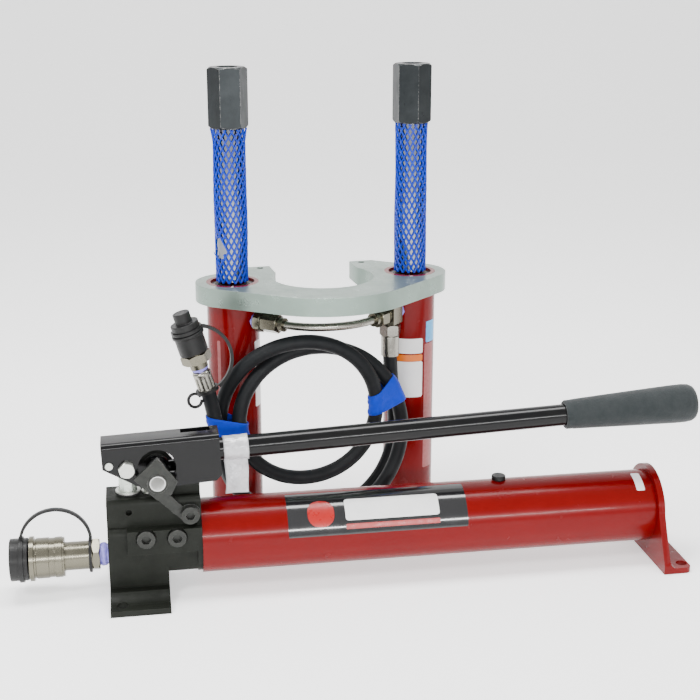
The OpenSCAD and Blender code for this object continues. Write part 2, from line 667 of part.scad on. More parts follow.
module film_tie() color([0.85, 0.85, 0.88]) at_handle() {
    along_x(22) ring(handle_r + 1.2, handle_r + gap, 0, 22);
    translate([22, -1.2, -44]) cube([22, 2.4, 44 - handle_r - 0.6]);
}
module plunger() color([0.70, 0.72, 0.68]) at_pump() difference() {
    union() {
        translate([bolt_at[0], 0, 46]) cylinder(r = plunger_r, h = bolt_at[1] - 46);
        along_y(bolt_at[0], bolt_at[1]) disc(plunger_r, -7.5, 7.5);
    }
    along_y(bolt_at[0], bolt_at[1]) disc(eye_r, -10, 10);
    for (s = [-1, 1]) translate([bolt_at[0], s * 12.5, bolt_at[1]]) cube([30, 10, 34], center = true);
}

yoke_plate();
left_barrel();
right_barrel();
left_gland();
right_gland();
rod_wipers();
port_adapter();
port_tee();
transfer_tube();
tube_nuts();
hose_swivel();
hose_tail();
hose_coil();
hose_end();
hose_ferrule();
hose_half_coupler();
left_strap();
right_strap();
hose_cap();
hose_cap_strap();
left_rod();
left_piston();
left_piston_seal();
left_nut();
left_net();
right_rod();
right_piston();
right_piston_seal();
right_nut();
right_net();
pump_head();
head_plugs();
reservoir_tube();
end_bracket();
tie_rod();
tie_rod_nut();
outlet_nipple();
coupler_body();
plunger_gland();
relief_plug();
pump_seals();
check_balls();
oil_pickup();
oil_strainer();
link_screws();
filler_plug();
release_knob();
coupler_collar();
coupler_cap();
coupler_cap_strap();
link_arms();
link_pivot();
lever_beam();
handle_tube();
grip();
plunger_bolt();
beam_rivet();
film_tie();
plunger();
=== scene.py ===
import json
import math
import bmesh
import bpy
import numpy as np
from mathutils import Matrix, Vector


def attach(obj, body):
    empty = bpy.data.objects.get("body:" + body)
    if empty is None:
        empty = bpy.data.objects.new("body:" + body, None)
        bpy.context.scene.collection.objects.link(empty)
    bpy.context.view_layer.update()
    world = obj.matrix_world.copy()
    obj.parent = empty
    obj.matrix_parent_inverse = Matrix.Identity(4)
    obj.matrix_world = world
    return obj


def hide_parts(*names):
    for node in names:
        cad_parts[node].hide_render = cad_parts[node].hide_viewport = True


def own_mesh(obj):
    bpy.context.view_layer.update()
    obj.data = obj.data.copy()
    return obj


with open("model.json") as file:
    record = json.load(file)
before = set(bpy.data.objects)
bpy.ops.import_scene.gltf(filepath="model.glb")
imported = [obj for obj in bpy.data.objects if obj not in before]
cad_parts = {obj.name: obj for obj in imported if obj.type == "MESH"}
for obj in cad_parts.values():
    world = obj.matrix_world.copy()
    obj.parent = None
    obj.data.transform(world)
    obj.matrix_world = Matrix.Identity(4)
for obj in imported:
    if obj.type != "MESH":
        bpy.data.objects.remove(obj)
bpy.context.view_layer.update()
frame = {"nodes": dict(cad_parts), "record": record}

# ---- Frames: millimetres in each assembly's own frame, turned into the row frame ----


def turned(degrees, axis):
    return Matrix.Rotation(math.radians(degrees), 4, axis)


def moved(x, y, z):
    return Matrix.Translation((x, y, z))


PRESS = moved(-12.4, 76.3, 0) @ turned(5.3, "Z")
PUMP = moved(-147.5, -79, 0)
LEFT = PRESS @ moved(-90, 0, 0)
RIGHT = PRESS @ moved(90, 0, 0)
HOSE_END = PRESS @ moved(-126, -60, 153) @ turned(-16.5, "Y")
COUPLER = PUMP @ moved(0, 0, 33.7) @ turned(-90, "Y")
HANDLE = PUMP @ moved(0, 0, 126.4) @ turned(-2.4, "Y")
TUBE = PUMP @ moved(0, 0, 45.7)
BODY = {n: b for b, nodes in frame["record"]["behaviour"]["bodies"].items() for n in nodes}
SLOT = {s["node"]: s["material_slot"] for s in frame["record"]["subparts"]}

BARREL_R, RESERVOIR_R, HOSE_R = 25.4, 33.5, 7
STRAP_WIDE = 24
PIVOT_AT = (-36.7, 0, 107)
HOSE_START = (61.7, -28.3, 166)

# ---- Camera ----
camera = bpy.data.objects.new("camera", bpy.data.cameras.new("camera"))
bpy.context.scene.collection.objects.link(camera)
camera.location = (-0.1955, -1.1744, 0.5412)
camera.rotation_euler = (math.radians(73.52), 0, math.radians(-9.56))
camera.data.lens = 67.49
camera.data.sensor_width = 36
camera.data.clip_start = 0.01
bpy.context.scene.camera = camera


# ---- Materials ----
class Finish:
    """A node material: base colour with blotches, fine grain, roughness changes and worn edges."""

    def __init__(self, name, rgb, other=None, rough=0.4, metal=0.0, blotch=35, grain=1200, bump=0.15,
                 rough_span=0.08, stretch=(1, 1, 1), wear=None, wear_mm=0.5, wear_amount=0.6, **sockets):
        self.m = bpy.data.materials.new(name)
        self.m.use_nodes = True
        self.t = self.m.node_tree
        self.out = self.t.nodes["Principled BSDF"]
        place = self.node("ShaderNodeTexCoord").outputs["Object"]
        scaled = self.node("ShaderNodeMapping")
        scaled.inputs["Scale"].default_value = stretch
        self.link(place, scaled.inputs["Vector"])
        self.place = place
        self.stretched = scaled.outputs["Vector"]
        spots = self.noise(blotch, 4, self.place)
        colour = self.mix(self.ramp(spots, 0.35, 0.68), rgb, other or [c * 0.8 for c in rgb])
        fine = self.noise(grain, 3, self.stretched)
        colour = self.mix(self.ramp(fine, 0.3, 0.9, 0, 0.35), colour, [c * 0.75 for c in rgb])
        low, high = max(rough - rough_span, 0.02), min(rough + rough_span, 1)
        smudge = self.noise(blotch * 2.7, 5, self.stretched)
        shine = self.ramp(smudge, 0.3, 0.7, low, high)
        metal_from = None
        if wear is not None:
            edge = self.edges(wear_mm, wear_amount)
            colour = self.mix(edge, colour, wear)
            if metal < 0.5:
                metal_from = self.ramp(edge, 0, 1, metal, 0.8)
        self.link(colour, self.out.inputs["Base Color"])
        self.link(shine, self.out.inputs["Roughness"])
        if metal_from is None:
            self.out.inputs["Metallic"].default_value = metal
        else:
            self.link(metal_from, self.out.inputs["Metallic"])
        for key, value in sockets.items():
            self.out.inputs[key.replace("_", " ")].default_value = value
        if bump:
            self.bump(fine, bump, 0.0002)

    def node(self, kind, **values):
        n = self.t.nodes.new(kind)
        for key, value in values.items():
            setattr(n, key, value)
        return n

    def link(self, a, b):
        self.t.links.new(a, b)

    def noise(self, scale, detail, vector):
        n = self.node("ShaderNodeTexNoise")
        n.inputs["Scale"].default_value = scale
        n.inputs["Detail"].default_value = detail
        n.inputs["Roughness"].default_value = 0.6
        self.link(vector, n.inputs["Vector"])
        return n.outputs["Fac"]

    def ramp(self, value, a, b, low=0.0, high=1.0):
        n = self.node("ShaderNodeMapRange")
        for socket, number in zip(("From Min", "From Max", "To Min", "To Max"), (a, b, low, high)):
            n.inputs[socket].default_value = number
        self.link(value, n.inputs["Value"])
        return n.outputs["Result"]

    def mix(self, factor, a, b):
        n = self.node("ShaderNodeMix", data_type="RGBA")
        self.link(factor, n.inputs["Factor"])
        for socket, value in ((n.inputs[6], a), (n.inputs[7], b)):
            if hasattr(value, "is_output"):
                self.link(value, socket)
            else:
                socket.default_value = (*value[:3], 1)
        return n.outputs[2]

    def maths(self, kind, a, b):
        n = self.node("ShaderNodeMath", operation=kind)
        for socket, value in ((n.inputs[0], a), (n.inputs[1], b)):
            if hasattr(value, "is_output"):
                self.link(value, socket)
            else:
                socket.default_value = value
        return n.outputs[0]

    def edges(self, width_mm, amount):
        """Mask of the convex and concave edges, broken up by noise."""
        rounded = self.node("ShaderNodeBevel", samples=4)
        rounded.inputs["Radius"].default_value = width_mm / 1000
        flat = self.node("ShaderNodeNewGeometry").outputs["Normal"]
        dot = self.node("ShaderNodeVectorMath", operation="DOT_PRODUCT")
        self.link(rounded.outputs["Normal"], dot.inputs[0])
        self.link(flat, dot.inputs[1])
        mask = self.ramp(dot.outputs["Value"], 0.995, 0.90)
        broken = self.ramp(self.noise(420, 4, self.place), 0.42, 0.62)
        return self.maths("MULTIPLY", self.maths("MULTIPLY", mask, broken), amount)

    def bump(self, height, strength, distance):
        n = self.node("ShaderNodeBump")
        n.inputs["Strength"].default_value = strength
        n.inputs["Distance"].default_value = distance
        self.link(height, n.inputs["Height"])
        below = self.out.inputs["Normal"].links
        if below:
            self.link(below[0].from_socket, n.inputs["Normal"])
        self.link(n.outputs["Normal"], self.out.inputs["Normal"])
        return self


F = {
    "zinc_plate": Finish("zinc_plate", (0.22, 0.28, 0.245), (0.19, 0.25, 0.215), 0.32, 0.75, 28, 900, 0.2,
                         0.08, wear=(0.75, 0.76, 0.72), wear_mm=0.8, wear_amount=0.4),
    "red_paint": Finish("red_paint", (0.140, 0.0002, 0.0007), (0.124, 0.0002, 0.0007), 0.24, 0, 22, 260, 0.05,
                        0.04, Coat_Weight=0.06, Coat_Roughness=0.06, Specular_IOR_Level=0.15),
    "steel_grey": Finish("steel_grey", (0.30, 0.31, 0.32), None, 0.35, 0.9, 60, 1500, 0.2, 0.1),
    "black_seal": Finish("black_seal", (0.02, 0.02, 0.02), None, 0.6, 0, 80, 2000, 0.3),
    "nickel_fitting": Finish("nickel_fitting", (0.16, 0.15, 0.115), (0.15, 0.14, 0.105), 0.26, 0.95, 30, 1500,
                             0.08, 0.03),
    "steel_tube": Finish("steel_tube", (0.30, 0.29, 0.255), (0.28, 0.27, 0.24), 0.26, 1.0, 25, 1800, 0.06,
                         0.03),
    "hose_rubber": Finish("hose_rubber", (0.005, 0.006, 0.007), (0.008, 0.009, 0.010), 0.5, 0, 70, 2600,
                          0.4, 0.08, Specular_IOR_Level=0.15),
    "strap_fabric": Finish("strap_fabric", (0.0, 0.028, 0.44), (0.0, 0.022, 0.36), 0.85, 0, 150, 2600, 0.9,
                           0.05, Sheen_Weight=0.15, Sheen_Roughness=0.4, Specular_IOR_Level=0.2),
    "black_plastic": Finish("black_plastic", (0.003, 0.003, 0.003), (0.006, 0.006, 0.006), 0.42, 0, 120, 2200,
                            0.3, 0.1, Specular_IOR_Level=0.3),
    "chrome_rod": Finish("chrome_rod", (0.20, 0.21, 0.235), (0.17, 0.18, 0.20), 0.08, 1.0, 60, 1500, 0.03,
                         0.03),
    "blue_seal": Finish("blue_seal", (0.03, 0.12, 0.5), None, 0.4, 0, 90, 1500, 0.2),
    "black_oxide": Finish("black_oxide", (0.015, 0.018, 0.0195), (0.024, 0.028, 0.030), 0.34, 0.75, 70, 1100,
                          0.25, 0.08, (1, 1, 0.35), wear=(0.52, 0.52, 0.50), wear_mm=0.7, wear_amount=0.6),
    "net_plastic": Finish("net_plastic", (0.0, 0.018, 0.34), (0.0, 0.034, 0.42), 0.35, 0, 90, 1200, 0.2, 0.08,
                          Specular_IOR_Level=0.3),
    "cast_head": Finish("cast_head", (0.006, 0.007, 0.005), (0.010, 0.0115, 0.0085), 0.5, 0.05, 40, 520, 0.6,
                        0.1, wear=(0.06, 0.065, 0.055), wear_mm=0.9, wear_amount=0.3,
                        Specular_IOR_Level=0.15),
    "black_paint": Finish("black_paint", (0.003, 0.003, 0.0035), (0.005, 0.005, 0.005), 0.18, 0, 30, 260,
                          0.06, 0.04, wear=(0.16, 0.16, 0.155), wear_mm=0.25, wear_amount=0.15,
                          Coat_Weight=0.08, Coat_Roughness=0.05, Specular_IOR_Level=0.18),
    "zinc_fastener": Finish("zinc_fastener", (0.62, 0.63, 0.58), (0.52, 0.54, 0.50), 0.32, 0.85, 160, 1800,
                            0.3, 0.1),
    "black_screw": Finish("black_screw", (0.016, 0.017, 0.015), (0.026, 0.027, 0.024), 0.36, 0.6, 200, 1800,
                          0.35, 0.1, wear=(0.30, 0.30, 0.29), wear_mm=0.4, wear_amount=0.5),
    "violet_sealant": Finish("violet_sealant", (0.22, 0.19, 0.72), (0.34, 0.31, 0.82), 0.45, 0, 260, 1500,
                             0.6, 0.1),
    "foam_grip": Finish("foam_grip", (0.013, 0.017, 0.018), (0.020, 0.024, 0.025), 0.78, 0, 90, 1500, 0.9,
                        0.08, Sheen_Weight=0.15, Specular_IOR_Level=0.2),
    "plunger_zinc": Finish("plunger_zinc", (0.58, 0.62, 0.56), (0.50, 0.56, 0.50), 0.30, 0.75, 120, 1400,
                           0.3, 0.1),
    "copper_tube": Finish("copper_tube", (0.55, 0.30, 0.16), None, 0.35, 1.0, 90, 1500, 0.2),
    # Pale finish for the pivot's bore: painted light, standing in for the bright backdrop seen through the
    # open hole
    "bore_backdrop_pale": Finish("bore_backdrop_pale", (0.86, 0.86, 0.84), (0.80, 0.80, 0.78), 0.5, 0, 120, 1400, 0.1),
    "clear_film": Finish("clear_film", (0.82, 0.82, 0.85), (0.90, 0.90, 0.92), 0.16, 0.15, 110, 320, 0.9,
                         0.08, Alpha=0.55, Transmission_Weight=0.25),
}
F["cast_head"].bump(F["cast_head"].noise(95, 3, F["cast_head"].place), 0.35, 0.0012)
F["foam_grip"].bump(F["foam_grip"].noise(420, 4, F["foam_grip"].place), 0.6, 0.0006)
F["clear_film"].bump(F["clear_film"].noise(75, 4, F["clear_film"].place), 0.9, 0.004)
F["hose_rubber"].bump(F["hose_rubber"].noise(240, 3, F["hose_rubber"].place), 0.25, 0.0004)
F["strap_fabric"].bump(F["strap_fabric"].noise(900, 2, F["strap_fabric"].place), 0.7, 0.0006)

LABEL_WHITE = Finish("label_white", (0.80, 0.80, 0.79), (0.74, 0.74, 0.74), 0.35, 0, 60, 900, 0.05, 0.05)
LABEL_BLACK = Finish("label_black", (0.007, 0.007, 0.008), (0.010, 0.010, 0.011), 0.14, 0, 40, 600, 0.03,
                     0.03, Coat_Weight=0.6, Coat_Roughness=0.04)
LABEL_ORANGE = Finish("label_orange", (0.70, 0.15, 0.004), (0.62, 0.13, 0.004), 0.35, 0, 60, 900, 0.05)
LABEL_BLUE = Finish("label_blue", (0.03, 0.32, 0.66), (0.05, 0.38, 0.72), 0.32, 0, 60, 900, 0.05)
LABEL_RED = Finish("label_red", (0.34, 0.004, 0.003), (0.30, 0.004, 0.003), 0.3, 0, 60, 900, 0.05)
LABEL_PALE = Finish("label_pale", (0.30, 0.07, 0.07), (0.24, 0.035, 0.035), 0.4, 0, 320, 900, 0.05)


# ---- Making pieces ----
def piece(name, verts, faces, place, body, finish):
    """A mesh given in millimetres in the frame place."""
    mesh = bpy.data.meshes.new(name)
    mesh.from_pydata([(place @ Vector(v)) * 0.001 for v in verts], [], faces)
    mesh.materials.append(finish.m)
    bm = bmesh.new()
    bm.from_mesh(mesh)
    bmesh.ops.recalc_face_normals(bm, faces=bm.faces)
    bm.to_mesh(mesh)
    bm.free()
    mesh.shade_smooth()
    mesh.set_sharp_from_angle(angle=math.radians(38))
    obj = bpy.data.objects.new(name, mesh)
    bpy.context.scene.collection.objects.link(obj)
    if body:
        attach(obj, body)
    return obj


def dress(node, bevel=0.4, segments=2):
    """A copy of a CAD node with welded vertices and rounded edges, shown in its place."""
    source = frame["nodes"][node]
    obj = source.copy()
    obj.data = source.data.copy()
    obj.name = node + "_look"
    obj.parent = None
    obj.matrix_world = source.matrix_world
    bpy.context.scene.collection.objects.link(obj)
    bm = bmesh.new()
    bm.from_mesh(obj.data)
    bmesh.ops.remove_doubles(bm, verts=bm.verts, dist=2e-6)
    bmesh.ops.dissolve_limit(bm, angle_limit=math.radians(0.6), verts=bm.verts, edges=bm.edges)
    bm.to_mesh(obj.data)
    bm.free()
    if obj.data.has_custom_normals:
        obj.data.attributes.remove(obj.data.attributes["custom_normal"])
    obj.data.materials.clear()
    obj.data.materials.append(F[SLOT[node]].m)
    obj.data.shade_smooth()
    obj.data.set_sharp_from_angle(angle=math.radians(32))
    if bevel:
        cut = obj.modifiers.new("round", "BEVEL")
        cut.width = bevel / 1000
        cut.segments = segments
        cut.limit_method = "ANGLE"
        cut.angle_limit = math.radians(38)
        cut.harden_normals = True
    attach(obj, BODY[node])
    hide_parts(node)
    return obj


def tube_mesh(points, radius, sides, squeeze=1.0):
    """Vertices and faces of a tube along points. radius is a number or one for each point."""
    p = np.array(points, float)
    d = np.gradient(p, axis=0)
    d /= np.linalg.norm(d, axis=1)[:, None]
    side = np.cross(d[0], (0.3, 1, 0.2))
    verts, faces = [], []
    for i in range(len(p)):
        side = side - d[i] * side.dot(d[i])
        side /= np.linalg.norm(side)
        up = np.cross(d[i], side)
        r = radius[i] if hasattr(radius, "__len__") else radius
        for k in range(sides):
            a = 2 * math.pi * k / sides
            verts.append(tuple(p[i] + r * math.cos(a) * side + r * squeeze * math.sin(a) * up))
    for i in range(len(p) - 1):
        for k in range(sides):
            n = (k + 1) % sides
            faces.append((i * sides + k, (i + 1) * sides + k, (i + 1) * sides + n, i * sides + n))
    faces.append(tuple(range(sides)))
    faces.append(tuple((len(p) - 1) * sides + k for k in reversed(range(sides))))
    return verts, faces


def lathe(profile, sides=64, flute=None):
    """Closed solid about z from (radius, height) pairs. flute(angle, height) adds to the radius."""
    verts, faces = [], []
    for r, z in profile:
        for k in range(sides):
            a = 2 * math.pi * k / sides
            rr = r + (flute(a, z) if flute else 0)
            verts.append((rr * math.cos(a), rr * math.sin(a), z))
    for i in range(len(profile) - 1):
        for k in range(sides):
            n = (k + 1) % sides
            faces.append((i * sides + k, i * sides + n, (i + 1) * sides + n, (i + 1) * sides + k))
    faces.append(tuple(range(sides)))
    faces.append(tuple((len(profile) - 1) * sides + k for k in reversed(range(sides))))
    return verts, faces


def patch(name, place, r, a0, a1, t0, t1, finish, body, along="z", corner=1.5, lift=0.12):
    """A label on a cylinder: angles in degrees, t along its axis, corners rounded."""
    na, nt = 22, 14
    verts, faces = [], []
    span = math.radians(a1 - a0) * r
    for i in range(na + 1):
        u = i / na
        for j in range(nt + 1):
            w = j / nt
            du, dw = min(u, 1 - u) * abs(span), min(w, 1 - w) * abs(t1 - t0)
            cut = max(corner - du, 0)
            shift = corner - math.sqrt(max(corner ** 2 - cut ** 2, 0)) if cut > 0 else 0
            t = t0 + (t1 - t0) * w
            if dw < corner:
                t = max(min(t, t1 - shift), t0 + shift) if t1 > t0 else t
            a = math.radians(a0 + (a1 - a0) * u)
            rr = r + lift
            ring = (rr * math.cos(a), rr * math.sin(a))
            verts.append((ring[0], ring[1], t) if along == "z" else (t, -ring[0], ring[1]))
    for i in range(na):
        for j in range(nt):
            q = i * (nt + 1) + j
            faces.append((q, q + 1, q + nt + 2, q + nt + 1))
    return piece(name, verts, faces, place, body, finish)


def smooth_through(values, at, wanted):
    """Smooth curve through values placed at the falling numbers at."""
    n = len(at)
    slope = [(values[min(i + 1, n - 1)] - values[max(i - 1, 0)]) / (at[min(i + 1, n - 1)] - at[max(i - 1, 0)])
             for i in range(n)]
    out = []
    for q in wanted:
        i = min(max(k for k in range(n) if at[k] >= q - 1e-9), n - 2)
        h = at[i + 1] - at[i]
        t = (q - at[i]) / h
        out.append((2 * t ** 3 - 3 * t * t + 1) * values[i] + (t ** 3 - 2 * t * t + t) * h * slope[i]
                   + (3 * t * t - 2 * t ** 3) * values[i + 1] + (t ** 3 - t * t) * h * slope[i + 1])
    return out


def even(points, step):
    """The same line with its points a step apart."""
    points = np.array(points, float)
    run = np.r_[0, np.cumsum(np.linalg.norm(np.diff(points, axis=0), axis=1))]
    at = np.linspace(0, run[-1], int(run[-1] / step) + 1)
    return np.stack([np.interp(at, run, points[:, k]) for k in range(3)], 1)


# ---- Hose: from the swivel down, round its turns, and up to its coupler ----
COIL_X, COIL_Z = -25, 100
POINTS_APART = 5
SMOOTHING_PASSES = 30
# Stations of the turns: angle about the coil's centre, distance from it, and y
TURNS = [(-12, 94.5, -31), (-28, 95, -36), (-50, 95, -40.5), (-90, 95, -42.5), (-135, 94, -42),
         (-158, 92, -42), (-180, 90, -42), (-195, 92, -43), (-210, 96.5, -46.5), (-225, 100, -52),
         (-240, 100.5, -57), (-255, 98.8, -59.3), (-270, 96.8, -60), (-290, 92, -60), (-310, 85, -59.5),
         (-325, 78.5, -58.5), (-337, 73, -57.5), (-360, 62.5, -57), (-380, 55.5, -57), (-405, 49.5, -57),
         (-430, 46.5, -57), (-450, 46.2, -57), (-475, 49.5, -57.5), (-500, 56.5, -58), (-525, 66, -58.5),
         (-548, 75, -58), (-570, 81, -55.5), (-600, 84.5, -49), (-630, 86.5, -45), (-652, 89, -44.3),
         (-675, 92, -44.5), (-697, 94, -46), (-722, 95, -50), (-745, 95, -54.5), (-765, 95, -57),
         (-810, 95, -57.8), (-848, 94, -58)]
SWIVEL_END = [HOSE_START, (61.7, -28.3, 158), (61.7, -28.3, 150), (63, -28.2, 136),
              (65.6, -28.3, 122), (67.4, -28.6, 111), (68, -29.2, 101)]
COUPLER_END = [(-99.5, -58.4, 46), (-106.5, -58.4, 60), (-111.7, -58.2, 75), (-115.3, -58.3, 91),
               (-117.6, -58.8, 107), (-119.6, -59.6, 124), (-122, -60, 139.6), (-124, -60, 146.3),
               (-126, -60, 153)]
angles = [t[0] for t in TURNS]
steps = list(np.arange(angles[0], angles[-1] - 1e-6, -5.0))
turn_r = smooth_through([t[1] for t in TURNS], angles, steps)
turn_y = smooth_through([t[2] for t in TURNS], angles, steps)
route = SWIVEL_END + [(COIL_X + r * math.cos(math.radians(a)), y, COIL_Z + r * math.sin(math.radians(a)))
                      for a, r, y in zip(steps, turn_r, turn_y)] + COUPLER_END
route = even(route, POINTS_APART)
for _ in range(SMOOTHING_PASSES):
    route[1:-1] = (route[:-2] + 2 * route[1:-1] + route[2:]) / 4
route = even(route, POINTS_APART)
hose_v, hose_f = tube_mesh(route, HOSE_R, 20)
hose = piece("hose_line", hose_v, hose_f, PRESS, "press", F["hose_rubber"])
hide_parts("hose_tail", "hose_coil", "hose_end")

# Crimped ferrule with flutes, the stub behind the hexagon and its bead of sealant


def crimp(a, z):
    inside = max(0.0, min(1.0, min(z - 2, 19 - z) / 2.5))
    return -0.75 * inside * (0.5 + 0.5 * math.cos(8 * a)) ** 2


ferrule_profile = [(7.2, 0), (8.2, 0.3), (8.75, 1.2)] + [(8.75, z) for z in np.arange(2.2, 19.4, 1.0)] + \
    [(8.75, 20.2), (8.4, 21.2), (7.6, 21.8), (7.6, 22.6), (6.5, 23), (6.5, 26)]
ferrule_v, ferrule_f = lathe(ferrule_profile, 96, crimp)
ferrule = piece("crimped_ferrule", ferrule_v, ferrule_f, HOSE_END, "press", F["steel_tube"])
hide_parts("hose_ferrule")
hose_coupler = dress("hose_half_coupler", 0.4)


def bead(name, place, r, wide, thick, body, seed):
    """A lumpy ring of thread sealant about z."""
    verts, faces = [], []
    n, m = 48, 8
    for i in range(n):
        a = 2 * math.pi * i / n
        lump = 1 + 0.22 * math.sin(3 * a + seed) + 0.14 * math.sin(7 * a + 2 * seed) + 0.08 * math.sin(13 * a)
        for k in range(m):
            b = 2 * math.pi * k / m
            rr = r + thick * lump * math.cos(b)
            verts.append((rr * math.cos(a), rr * math.sin(a), wide * lump * math.sin(b)))
    for i in range(n):
        for k in range(m):
            j, q = (i + 1) % n, (k + 1) % m
            faces.append((i * m + k, j * m + k, j * m + q, i * m + q))
    return piece(name, verts, faces, place, body, F["violet_sealant"])


hose_bead = bead("sealant_hose", HOSE_END @ moved(0, 0, 25.4), 7.2, 2.2, 0.85, "press", 0.4)

# ---- Straps: closed bands of hook and loop round the strands that they hold ----


def hull(points):
    points = sorted(map(tuple, points))

    def half(pts):
        out = []
        for q in pts:
            while len(out) > 1 and ((out[-1][0] - out[-2][0]) * (q[1] - out[-2][1])
                                    - (out[-1][1] - out[-2][1]) * (q[0] - out[-2][0])) <= 0:
                out.pop()
            out.append(q)
        return out[:-1]
    return half(points) + half(points[::-1])


STRAP_TURN_R = 84


def strap(name, node, middle, skip, seed):
    """Band round the strands in front of y = skip that cross the angle middle about the coil."""
    count, rows = 72, 11
    verts, faces = [], []
    r_all = np.hypot(route[:, 0] - COIL_X, route[:, 2] - COIL_Z)
    a_all = np.degrees(np.arctan2(route[:, 2] - COIL_Z, route[:, 0] - COIL_X))
    loops = []
    for row in range(rows):
        at = middle + math.degrees((row / (rows - 1) - 0.5) * STRAP_WIDE / STRAP_TURN_R)
        away = np.abs((a_all - at + 180) % 360 - 180)
        centres = []
        for i in range(1, len(route) - 1):
            if away[i] < 4 and away[i] <= away[i - 1] and away[i] <= away[i + 1] and route[i][1] < skip:
                centres.append((r_all[i], route[i][1]))
        loops.append((at, centres))
    for row, (at, centres) in enumerate(loops):
        reach = 7.35 + 0.25 * math.sin(row * 0.9 + seed)
        outline = hull([(c[0] + reach * math.cos(b), c[1] + reach * math.sin(b))
                        for c in centres for b in np.linspace(0, 2 * math.pi, 40, endpoint=False)])
        outline = np.array(outline + outline[:1])
        run = np.r_[0, np.cumsum(np.linalg.norm(np.diff(outline, axis=0), axis=1))]
        start = run[np.argmax(outline[:, 0])]
        for k in range(count):
            s = (start + run[-1] * k / count) % run[-1]
            rr, y = np.interp(s, run, outline[:, 0]), np.interp(s, run, outline[:, 1])
            a = math.radians(at)
            verts.append((COIL_X + rr * math.cos(a), y, COIL_Z + rr * math.sin(a)))
    for i in range(rows - 1):
        for k in range(count):
            n = (k + 1) % count
            faces.append((i * count + k, i * count + n, (i + 1) * count + n, (i + 1) * count + k))
    obj = piece(name, verts, faces, PRESS, "press", F["strap_fabric"])
    shell = obj.modifiers.new("thickness", "SOLIDIFY")
    shell.thickness = 0.0015
    shell.offset = 1
    soft = obj.modifiers.new("soft", "SUBSURF")
    soft.levels = soft.render_levels = 1
    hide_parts(node)
    return obj


left_band = strap("strap_left", "left_strap", 172, 0, 0.5)
right_band = strap("strap_right", "right_strap", 23, -38, 1.7)

# ---- Net sleeves on the rods ----


def net(name, node, place, body, flare, hole, seed):
    """Diamond net of 16 strands each way, melted together where they cross."""
    verts, faces = [], []
    low, high, turn = 244.9, 391.2, 165.0

    def radius(a, z):
        wave = 0.22 * math.sin(2 * a + z * 0.045 + seed) + 0.16 * math.sin(3 * a - z * 0.08 + 2 * seed)
        return 14.95 + wave + flare * max(0, (z - 374) / 17) ** 2

    def torn(a, z):
        if not hole:
            return False
        da = (math.degrees(a) - hole[0] + 180) % 360 - 180
        return (da / hole[2]) ** 2 + ((z - hole[1]) / hole[3]) ** 2 < 1

    def add(line, thick):
        v, f = tube_mesh(line, thick, 6, 0.72)
        base = len(verts)
        verts.extend(v)
        faces.extend(tuple(base + i for i in face) for face in f)

    for way in (-1, 1):
        for k in range(16):
            line = []
            for z in np.linspace(low, high, 58):
                a = 2 * math.pi * (k / 16 + way * (z - low) / turn) + 0.02 * math.sin(z * 0.11 + k + seed)
                if torn(a, z):
                    if len(line) > 3:
                        add(line, 0.95)
                    line = []
                    continue
                r = radius(a, z)
                line.append((r * math.cos(a), r * math.sin(a), z))
            if len(line) > 3:
                add(line, 0.95)
    if hole:
        a0, z0 = math.radians(hole[0] - 6), hole[1] - 9
        for k, (out, drop, bend) in enumerate(((4.6, 9, 0.35), (2.6, -5, -0.25))):
            line = []
            for t in np.linspace(0, 1, 12):
                a = a0 + bend * t
                r = 14.9 + out * math.sin(t * 1.7)
                line.append((r * math.cos(a), r * math.sin(a), z0 - drop * t))
            add(line, 0.5)
    obj = piece(name, verts, faces, place, body, F["net_plastic"])
    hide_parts(node)
    return obj


left_sleeve = net("net_sleeve_left", "left_net", LEFT, "press", 2.1, (206, 278, 27, 9), 0.3)
right_sleeve = net("net_sleeve_right", "right_net", RIGHT, "press", 0.3, None, 2.1)
for sleeve, joint, place in ((left_sleeve, "left_rod_slide", LEFT), (right_sleeve, "right_rod_slide", RIGHT)):
    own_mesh(sleeve)

# ---- Sealant beads ----
LEFT_PORT = LEFT @ moved(0, 0, 208) @ turned(-45, "Z") @ turned(90, "Y")
TEE_PORT = RIGHT @ moved(0, 0, 208) @ turned(225, "Z") @ turned(90, "Y")
for name, place, r, wide, thick, body, seed in (
        ("sealant_left_port", LEFT_PORT @ moved(0, 0, 27.1), 6.9, 2.2, 1.4, "press", 0.2),
        ("sealant_tee_port", TEE_PORT @ moved(0, 0, 27.3), 6.9, 2.3, 1.4, "press", 1.9),
        ("sealant_outlet", COUPLER @ moved(0, 0, 86.5), 9.6, 2.6, 0.9, "pump", 3.1)):
    bead(name, place, r, wide, thick, body, seed)

